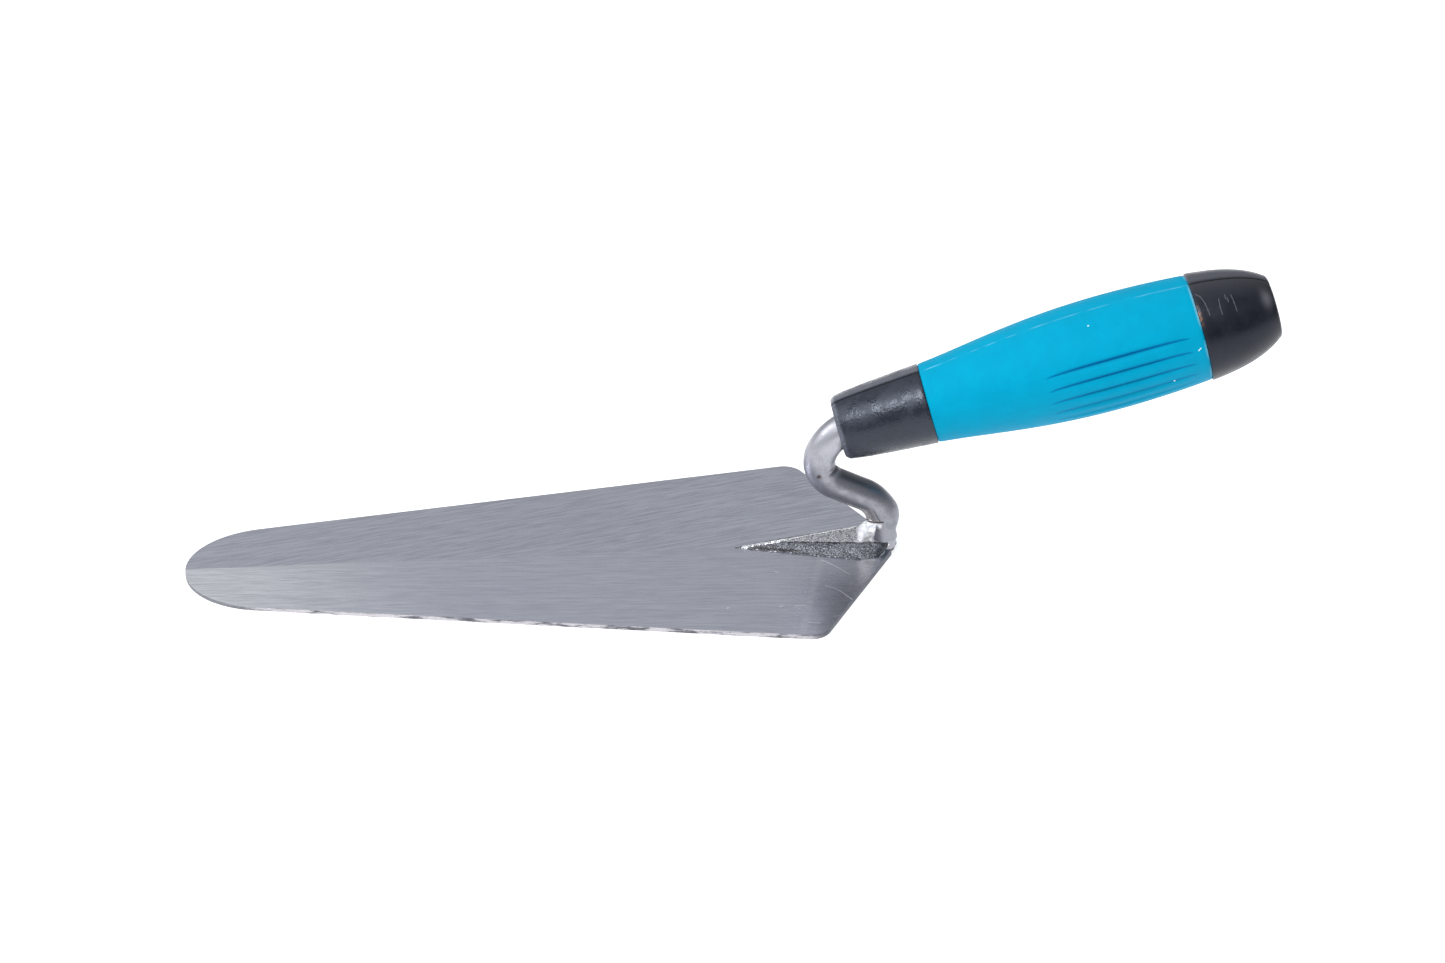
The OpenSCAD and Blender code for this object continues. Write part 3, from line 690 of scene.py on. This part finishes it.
polished_bar, tree, shader, place = new_material("polished_bar", metallic=1.0)
x_mm, y_mm, z_mm = split(place)
haze = noise(place, 0.35, 3.0, 0.6)
pits = noise(place, 2.4, 4.0, 0.7)
skin_grain = noise(place, 3.4, 3.0, 0.75)
heated_line = slant(x_mm, z_mm, 0.52, 1.3 - 0.52 * 11.2)
heated = times(between(z_mm, 14.0, 15.2, 1.0, 0.0), between(z_mm, 9.4, 9.6))
stain = vector("DISTANCE", place, (-17.1, -4.0, 25.0))
base = laid_over(
    mixed(between(haze, 0.35, 0.7), (0.385, 0.385, 0.425), (0.285, 0.288, 0.322)),
    (between(skin_grain, 0.42, 0.58, 0.0, 0.6), (0.24, 0.24, 0.27)),
    (between(pits, 0.64, 0.74, 0.0, 0.5), (0.16, 0.14, 0.14)),
    # Painted light: lighter towards the collar as a painted highlight, darker low down as painted shade.
    (between(z_mm, 24.0, 34.0, 0.0, 0.24), (0.62, 0.625, 0.67)),
    (between(z_mm, 18.0, 26.0, 0.28, 0.0), (0.16, 0.16, 0.18)),
    (times(between(heated_line, -0.35, -0.05, 0.62, 0.0), heated,
           between(pits, 0.42, 0.60, 1.0, 0.35)), (0.70, 0.65, 0.615)),
    (times(near_zero(heated_line, 0.05, 0.28, 0.55), heated), (0.10, 0.075, 0.065)),
    (between(number("ADD", stain, times(pits, 1.6)), 0.9, 1.8, 0.85, 0.0), (0.07, 0.045, 0.03)),
    # A painted dark reflection along the slope.
    (times(field(tree, "painted_slope_reflection"), between(skin_grain, 0.3, 0.65, 1.0, 0.55), 0.62), (0.10, 0.112, 0.135)),
    (near_zero(field(tree, "above_weld"), 0.12, 0.30, 0.85), (0.05, 0.035, 0.03)))
finish_with(shader, base, between(haze, 0.3, 0.7, 0.34, 0.46),
            number("ADD", haze, times(skin_grain, 0.3)), 0.02)


def above_weld(points):
    """Height over the upper end of the weld, which climbs from the far side round to the near one."""
    turn = np.degrees(np.arctan2(points[:, 1], points[:, 0])) % 360
    over = points[:, 2] - np.interp(turn, [100, 150, 264], [9.3, 9.7, 10.75])
    return np.where((points[:, 2] < 14) & (turn > 130) & (turn < 268), over, 9)


def slope_reflection_band(points):
    """The band along the slope's upper right side, painted dark and slightly blue as a reflection of something
    dark.
    """
    offset = points[:, [0, 2]] - slope_start
    turn = np.degrees(np.arctan2(offset @ polar(90 - slope), -points[:, 1]))
    along = offset @ polar(180 - slope)
    return bell(turn - 56, 21) * np.clip((along + 7) / 6, 0, 1) * np.clip((slope_run + 3 - along) / 4, 0, 1)


bent_bar = skin("bent_bar", bar_rings(), sharp=40)
mark(bent_bar, "painted_slope_reflection", slope_reflection_band)
mark(bent_bar, "above_weld", above_weld)
fit(bent_bar, "bar_steel", "neck", polished_bar)


# --- Weld round the bar's foot ---
# The bar stands on the foot in a thick run of weld in front, ground to bright facets, and dressed flush behind.
# A smaller run fills the corner under the foot's rounded end.

def front_weld_rings():
    """Rings round the bar. In front of it the radius is the smallest that a set of slanting planes allows,
    eased into one another as melted metal is. Elsewhere the skin lies just over the bar, and behind it a low
    fillet runs down on to the foot."""
    z = np.linspace(4.55, 11.0, 46)[:, None]
    turn = np.radians(np.linspace(0, 360, 120, endpoint=False))
    ease, total = 0.16, 0
    for facing, depth, per_mm in ((180, 6.45, 0), (143.6, 6.53, -0.847), (222, 6.75, -0.30), (232, 8.6, -0.74),
                                  (280, 2.75, 0.12), (80, 2.6, 0), (205, 7.6, -0.5)):
        cosine = np.cos(turn - np.radians(facing))
        plane = np.where(cosine > 0.12, (depth + per_mm * (z - 4.8)) / np.maximum(cosine, 0.12), 60)
        total = total + np.exp(-plane / ease)
    drop = 0.38 * bell(np.degrees(turn) - 248, 11) * bell(z - 9.5, 0.95)
    outer = np.maximum(-ease * np.log(total), bar_r + drop)
    reach = np.clip((outer - bar_r) / 0.6, 0, 1)
    x, y = np.cos(turn) * np.ones_like(z), np.sin(turn) * np.ones_like(z)
    waves = lumps(np.stack([outer * x, outer * y, z + 0 * x], axis=-1), 2.2, 7)
    r = outer + reach * 0.13 * waves + 0.012
    rear = np.interp(z, [4.55, 5.3, 6.3, 7.0], [3.76, 3.72, 3.32, 2.7]) / np.maximum(np.cos(turn), 0.35)
    r = np.where(np.cos(turn) > 0.35, np.minimum(bar_r + 0.012, rear), r)
    return np.stack([r * x, r * y, z + 0 * x], axis=-1)


ground_weld, tree, shader, place = new_material("ground_weld", metallic=1.0)
z_mm = split(place)[2]
belt = ground_lines(place, 1.0, 3.0, 0.25)["Lines"]
blobs = noise(place, 0.9, 3.0, 0.6)
facets = laid_over(
    mixed(between(blobs, 0.53, 0.70), (1.0, 1.0, 1.0), (0.74, 0.75, 0.80)),
    (between(z_mm, 8.0, 9.4, 0.0, 0.55), (0.55, 0.56, 0.61)))
base = laid_over(
    mixed(field(tree, "ground"), (0.29, 0.292, 0.325), facets),
    (near_zero(field(tree, "above_weld"), 0.14, 0.34, 0.9), (0.05, 0.035, 0.03)))
finish_with(shader, base, between(blobs, 0.3, 0.7, 0.30, 0.45),
            number("ADD", times(belt, 0.4), blobs), 0.08)

front_weld = skin("front_weld", front_weld_rings(), sharp=24)
mark(front_weld, "ground", lambda p: np.clip((np.hypot(p[:, 0], p[:, 1]) - bar_r - 0.06) / 0.2, 0, 1))
mark(front_weld, "above_weld", above_weld)
fit(front_weld, "weld_metal", "neck_weld", ground_weld)


def heel_weld_rings():
    """Rings round the bar's axis under the foot's overhang: a cone that widens upwards, uneven with drops."""
    z = np.linspace(0.12, 2.3, 16)[:, None]
    turn = np.radians(np.linspace(-62, 62, 40))
    r = 2.95 + 0.85 * np.sin(np.clip((z - 0.1) / 2.2, 0, 1) * np.pi / 2) + 0 * turn
    x, y = r * np.cos(turn), r * np.sin(turn)
    rings = np.stack([np.maximum(x, heel_x - 0.3), y, z + 0 * x], axis=-1)
    rings[..., :2] *= 1 + 0.03 * lumps(rings, 1.8, 11)[..., None]
    back = np.stack([np.full_like(y, heel_x - 0.4), y, z + 0 * x], axis=-1)[:, ::-1]
    return np.concatenate([rings, back], axis=1)


heel_drop = skin("heel_drop", heel_weld_rings(), sharp=50)
fit(heel_drop, "weld_metal", "heel_weld", weld_drops)


# --- Core of the handle ---
# Hard black moulding round the tang. Its collar shows in front of the grip, the rest lies under it.
# The mould's parting line runs along the top as a fine dark groove.

butt = next(mount for mount in frame["record"]["mounts"] if mount["name"] == "butt_face")
handle_axis = np.array(butt["axis"])
handle_down = np.array((handle_axis[2], 0, -handle_axis[0]))
grip_length, cap_length, grip_wall, bond_gap = 69.7, 19.6, 2.5, 0.05
handle_start = np.array(butt["pos_m"]) / MM - (grip_length + cap_length) * handle_axis
grip_line = ((10.2, 0), (11.65, 16.3), (16.55, 33.8), (13.45, grip_length))
parting = 186
beside_parting = np.array((-2.4, -1.6, -1.1, -0.8, -0.5, -0.25, 0, 0.25, 0.5, 0.8, 1.1, 1.6, 2.4))


def on_handle(radius, turn, along):
    """Points at a radius and a turn in degrees round the handle's axis, at a length along it. Turn 0 points
    down and 90 to the left side."""
    turn = np.radians(turn)
    return (handle_start + along[..., None] * handle_axis + (radius * np.cos(turn))[..., None] * handle_down
            + (radius * np.sin(turn))[..., None] * np.array((0, 1, 0)))


def handle_place(points):
    """Length along the handle, turn in degrees and radius of points in mm."""
    offset = points - handle_start
    along, down = offset @ handle_axis, offset @ handle_down
    return along, np.degrees(np.arctan2(offset[:, 1], down)) % 360, np.hypot(down, offset[:, 1])


def mark_handle(piece, name, field_at):
    """Stores field_at(length along the handle, turn, radius) on the piece's points."""
    mark(piece, name, lambda points: field_at(*handle_place(points)))


def from_parting(turn):
    """Turn away from the nearer of the mould's two parting lines, in degrees."""
    return (turn - parting + 90) % 180 - 90


def sheen_above_parting(along, turn, radius):
    """The strip above the parting line, on the mould's other half, painted lighter as a sheen."""
    return np.clip((parting - 1.6 - turn) / 2.5, 0, 1) * np.clip((turn - 110) / 30, 0, 1)


def cubic(points, t):
    """A cubic curve through its first and last point, pulled towards the two between."""
    a, b, c, d = np.array(points, dtype=float)
    t = t[:, None]
    return (1 - t) ** 3 * a + 3 * (1 - t) ** 2 * t * b + 3 * (1 - t) * t ** 2 * c + t ** 3 * d


def grip_curve(wall, steps=40):
    """Radius and length of the grip's outer curve, drawn in by a wall."""
    return cubic(grip_line, np.linspace(0, 1, steps)) - (wall, 0)


def turns_with_parting(step=5.0, extra=()):
    """Turns round the handle: even steps, closer ones round the two parting lines, and the extra ones."""
    turns = [np.arange(0, 360, step), parting + beside_parting, parting - 180 + beside_parting, *extra]
    return np.unique(np.round(np.concatenate(turns) % 360, 3))


def core_rings():
    """Rings from the bottom of the bore forward, out over the collar's face and back to the cap's socket. The
    bore's mouth follows the bar's last bend; a narrow notch sinks the parting line into the collar."""
    bore = bar_r + 0.05
    mouth = np.array((-18.1, -19.4, -20.7, -22.0, -23.3))
    bow = top_bend * (1 - np.sqrt(1 - ((-18.1 - mouth) / top_bend) ** 2))
    collar = [(7.2, -23.5), (7.4, -23.45), (7.6, -23.3), (8.12, -22.62), (8.24, -22.4), (8.33, -22.0),
              (8.55, -20.6), (8.68, -19.8), (9.2, -15), (9.7, -9), (10.1, -3.6), (10.28, -1.1), (10.32, -0.35),
              (10.2, -0.12), (9.6, -0.05)]
    inner = [tuple(place) for place in grip_curve(grip_wall + bond_gap)]
    socket = [(10.8, 69.6), (7.3, 69.7), (7.1, 69.4), (7.1, 65.0), (7.5, 63.8), (7.5, 63.6), (7.1, 62.4),
              (7.1, 57.6), (0, 57.6)]
    outline = [(0, 41.95, 0), (bore, 41.95, 0), (bore, 10, 0)]
    outline += [(bore + 0.06, s, b) for s, b in zip(mouth, bow)] + [(4.45, -23.5, bow[-1]), (5.6, -23.5, 0.3)]
    outline += [(r, s, 0) for r, s in collar + inner + socket]
    radius, along, shift = (np.array(column)[:, None] for column in zip(*outline))
    turn = turns_with_parting()
    shown = (radius > 7.2) & (along < -0.2)
    notch = 0.45 * shown * bell(from_parting(turn), 1.1)
    return on_handle(radius - notch, turn, along + 0 * turn) + shift[..., None] * handle_down


def moulding_scuffs(place, seed):
    """Mottling of a handled moulding: cloudy patches, where the skin is duller or more polished."""
    moved = vector("ADD", place, (seed, 2 * seed, 0))
    return noise(moved, 0.22, 5.0, 0.65), noise(moved, 1.5, 4.0, 0.6)


black_core, tree, shader, place = new_material("black_core", specular=0.6)
shader.inputs["Specular Tint"].default_value = (0.78, 0.86, 1.0, 1)
clouds, grain = moulding_scuffs(place, 3.0)
line = field(tree, "parting")
base = laid_over(
    mixed(between(clouds, 0.35, 0.7), (0.006, 0.007, 0.013), (0.015, 0.017, 0.028)),
    # Painted sheen: the strip above the parting line is lighter.
    (times(field(tree, "painted_top_sheen"), between(clouds, 0.3, 0.6, 1.0, 0.7)), (0.125, 0.128, 0.15)),
    # Painted highlight: the collar's front bevel is lighter, broken up by the grain.
    (times(field(tree, "rim"), between(grain, 0.3, 0.6, 0.4, 1.0)), (0.10, 0.108, 0.135)),
    (line, (0.002, 0.004, 0.006)),
    (times(specks(place, 3.0, 0.10, 0.12), 0.6), (0.5, 0.5, 0.55)))
rough = number("MAXIMUM", between(clouds, 0.38, 0.60, 0.15, 0.42), line)
finish_with(shader, base, rough, grain, 0.11)

moulded_core = skin("moulded_core", core_rings(), sharp=32)
mark_handle(moulded_core, "parting", lambda along, turn, radius: bell(from_parting(turn), 1.7))
mark_handle(moulded_core, "painted_top_sheen", sheen_above_parting)
# The front bevel, where a highlight is painted.
mark_handle(moulded_core, "rim", lambda along, turn, radius:
            np.clip(1.6 - np.abs((along + 22.95) / 0.45), 0, 1) * (radius > 7.35))
fit(moulded_core, "black_core", "handle_core", black_core)


# --- Grip ---
# Soft cyan sleeve moulded over the core, fattest behind the middle, with five straight finger grooves a side.
# A thin pale seam of flash stands along its top and bottom, where the mould's halves met.

groove_turns = (52, 67, 82, 97, 112)
groove_r = 1.1
groove_centre_r = 13.78 + groove_r


def across_groove(turn, line, skin_r, least):
    """Place across a groove, -1 and 1 at its two edges, and half the turn that its round cutter takes out of a
    skin of the given radius, in degrees."""
    cosine = (groove_centre_r ** 2 + skin_r ** 2 - groove_r ** 2) / (2 * groove_centre_r * skin_r)
    half_turn = np.degrees(np.arccos(np.clip(cosine, -1, 1)))
    side_turn = np.abs((turn + 180) % 360 - 180)
    return (side_turn - line) / np.maximum(half_turn, least), half_turn


def grip_rings():
    """Rings of the outer curve and back along the inner one. A groove has the outline that a round cutter,
    straight and parallel to the axis, leaves in the skin; across, it drops steeply and rises slowly."""
    fine = np.arange(45, 119.5, 0.75)
    turn = turns_with_parting(4.0, [fine, -fine])
    t = np.concatenate([[0.0, 0.002, 0.006], np.linspace(0.015, 0.985, 120), [0.994, 0.998, 1.0]])
    outer = cubic(grip_line, t)
    radius, along = outer[:, :1], outer[:, 1:]
    end_round = 0.25 * (np.exp(-along / 0.25) + np.exp((along - grip_length) / 0.25))
    skin_r = radius - end_round + 0 * turn
    for line in groove_turns:
        across, half_turn = across_groove(turn, line, radius, 0.01)
        wall = np.where(across > 0.55, (1 - across) / 0.45, (np.maximum(1 + across, 0) / 1.55) ** 1.15)
        wall = np.where(np.abs(across) < 1, wall, 0) * (half_turn > 0.3)
        skin_r = skin_r - np.clip(radius - groove_centre_r + groove_r, 0, None) * wall
    seam = 0.07 + 0.05 * bell(along, 0.8) + 0.05 * bell(along - grip_length, 0.8)
    skin_r = skin_r + seam * bell(from_parting(turn), 0.6)
    inner = grip_curve(grip_wall, 20)[::-1]
    return on_handle(np.concatenate([skin_r, inner[:, :1] + 0 * turn]), turn,
                     np.concatenate([along, inner[:, 1:]]) + 0 * turn)


def on_skin(turn, along, curve=grip_line):
    """A point on the handle's skin, for a mark."""
    outline = cubic(curve, np.linspace(0, 1, 60))
    return tuple(on_handle(np.interp(along, outline[:, 1], outline[:, 0]), np.array(turn), np.array(float(along))))


soft_cyan, tree, shader, place = new_material("soft_cyan", specular=0.12)
shader.inputs["Specular Tint"].default_value = (0.15, 0.75, 1.0, 1)
clouds, grain = moulding_scuffs(place, 9.0)
deep_in_groove = ((13.7, 0), (13.7, 20), (13.7, 40), (13.7, 80))
base = laid_over(
    mixed(between(clouds, 0.3, 0.7), (0.0006, 0.288, 0.462), (0.0008, 0.312, 0.495)),
    (times(field(tree, "flash"), 0.42), (0.45, 0.80, 0.95)),
    # Painted shade along the grooves' upper walls.
    (times(field(tree, "painted_groove_shade"), 0.95), (0.0002, 0.105, 0.29)),
    # Painted shade: darker towards the underside.
    (times(field(tree, "under"), 0.15), (0.0003, 0.14, 0.30)),
    (times(specks(place, 6.0, 0.12, 0.05), 0.8), (0.9, 0.95, 1.0)),
    *((times(scratch(place, start, end, width), 0.9), (0.9, 0.95, 1.0)) for start, end, width in (
        (on_skin(206, 43.1), on_skin(206, 43.2), 0.2),
        (on_skin(262.5, 67.5), on_skin(260.5, 68.2), 0.14),
        (on_skin(292, 60.1), on_skin(292, 60.1, deep_in_groove), 0.28))))
finish_with(shader, base, between(clouds, 0.3, 0.7, 0.50, 0.62), grain, 0.04)


def flash_field(points):
    """The seam along the parting line, broken here and there, and the thin rim at the cap."""
    along, turn, radius = handle_place(points)
    seam = bell(from_parting(turn), 0.7) * np.clip(0.14 + 0.8 * lumps(points, 6, 21), 0.03, 0.9)
    rim = 0.9 * (along > grip_length - 0.3) * np.clip(0.6 + lumps(points, 9, 5), 0, 1)
    return np.clip(seam + rim, 0, 1)


def shade_in_grooves(along, turn, radius):
    """Painted shade along the steep upper wall of every groove."""
    curve = grip_curve(-0.06, 200)
    skin_r = np.interp(along, curve[:, 1], curve[:, 0])
    lip = np.zeros(len(turn))
    for line in groove_turns:
        across, half_turn = across_groove(turn, line, skin_r, 1.0)
        lip += bell(across - 0.6, np.where(across > 0.6, 0.6, 0.32)) * np.clip((half_turn + 0.1) / 1.3, 0, 1)
    return np.clip(lip, 0, 1)


soft_sleeve = skin("soft_sleeve", grip_rings(), sharp=45, joined=True)
mark(soft_sleeve, "flash", flash_field)
mark_handle(soft_sleeve, "painted_groove_shade", shade_in_grooves)
# Painted shade, strongest on the underside.
mark_handle(soft_sleeve, "under", lambda along, turn, radius:
            np.clip(np.cos(np.radians(turn + 20)) * 0.75 + 0.35, 0, 1))
fit(soft_sleeve, "soft_grip", "grip", soft_cyan)


# --- Butt cap ---
# Hard black cap that closes the handle: its plug snaps into the core's socket, its flat end takes the knocks.
# It carries a parting line, a few fine scratches, and a trace of brown release wax at the joint.

cap_line = ((13.8, grip_length), (13.15, 77.4), (11.5, 84.1), (8.3, 88.3))


def cap_rings():
    """Rings from the hole that cores out the plug, round the plug with its snap bead, out to the grip, over the
    curve of the cap and across its flat end. A narrow notch sinks the parting line."""
    plug = [(0, 69.6), (4, 69.6), (4, 57.7), (6.6, 57.7), (7, 58.1), (7, 62.5), (7.4, 63.7), (7, 64.9), (7, 69.7)]
    front = [(13.3, 69.72), (13.55, 69.76), (13.72, 69.9)]
    body = [tuple(place) for place in cubic(cap_line, np.linspace(0.02, 1, 40))]
    back = [(8.05, 88.7), (7.75, 89.0), (7.3, 89.2), (6.7, 89.3), (3, 89.3), (0, 89.3)]
    radius, along = (np.array(column)[:, None] for column in zip(*(plug + front + body + back)))
    turn = turns_with_parting()
    shown = (radius > 7.6) & (along > 69.71)
    notch = 0.42 * (1 + bell(along - 79.0, 0.4)) * shown * bell(from_parting(turn), 0.9)
    return on_handle(radius - notch, turn, along + 0 * turn)


black_cap, tree, shader, place = new_material("black_cap", specular=0.39)
shader.inputs["Specular Tint"].default_value = (0.78, 0.86, 1.0, 1)
clouds, grain = moulding_scuffs(place, 17.0)
line = field(tree, "parting")
wax = times(field(tree, "wax"), between(grain, 0.4, 0.6))
base = laid_over(
    mixed(between(clouds, 0.35, 0.7), (0.003, 0.003, 0.007), (0.007, 0.008, 0.014)),
    # Painted light: the cap's top is lighter.
    (field(tree, "painted_top_light"), (0.032, 0.033, 0.038)),
    # Painted sheen: the strip above the parting line is lighter.
    (field(tree, "painted_top_sheen"), (0.068, 0.070, 0.084)),
    # Painted highlight: a soft light patch near the cap's end.
    (times(field(tree, "painted_end_highlight"), 0.6), (0.16, 0.165, 0.18)),
    (line, (0.001, 0.001, 0.0015)))
for path in (((214, 75.6), (223, 75.4), (232, 75.4)), ((212, 78.8), (222, 79), (232.5, 79.1)),
             ((210.5, 77.3), (216, 77.3)), ((215, 77.7), (220, 77.7)),
             ((202.5, 70.4), (206.5, 71.4), (215.5, 72.1), (223.5, 72.3), (229.5, 72.4))):
    for start, end in zip(path, path[1:]):
        mask = scratch(place, on_skin(*start, cap_line), on_skin(*end, cap_line), 0.15)
        base = mixed(times(mask, 0.15), base, (0.5, 0.5, 0.55))
base = mixed(wax, base, (0.30, 0.11, 0.03))
rough = number("MAXIMUM", between(clouds, 0.3, 0.7, 0.26, 0.38), line)
finish_with(shader, base, rough, grain, 0.03)

end_cap = skin("end_cap", cap_rings(), sharp=32)
mark_handle(end_cap, "parting", lambda along, turn, radius: bell(from_parting(turn), 1.3))
mark_handle(end_cap, "painted_top_sheen", sheen_above_parting)
# Painted light on the cap's top.
mark_handle(end_cap, "painted_top_light", lambda along, turn, radius:
            np.clip(1 - np.maximum(np.abs(turn - 180) - 6, 0) / 34, 0, 1))
mark_handle(end_cap, "painted_end_highlight", lambda along, turn, radius: bell(along - 87.2, 1.3) * bell(turn - 224, 14))
mark_handle(end_cap, "wax", lambda along, turn, radius: bell(along - 69.9, 0.35) * bell(turn - 227, 8))
fit(end_cap, "black_cap", "butt_cap", black_cap)
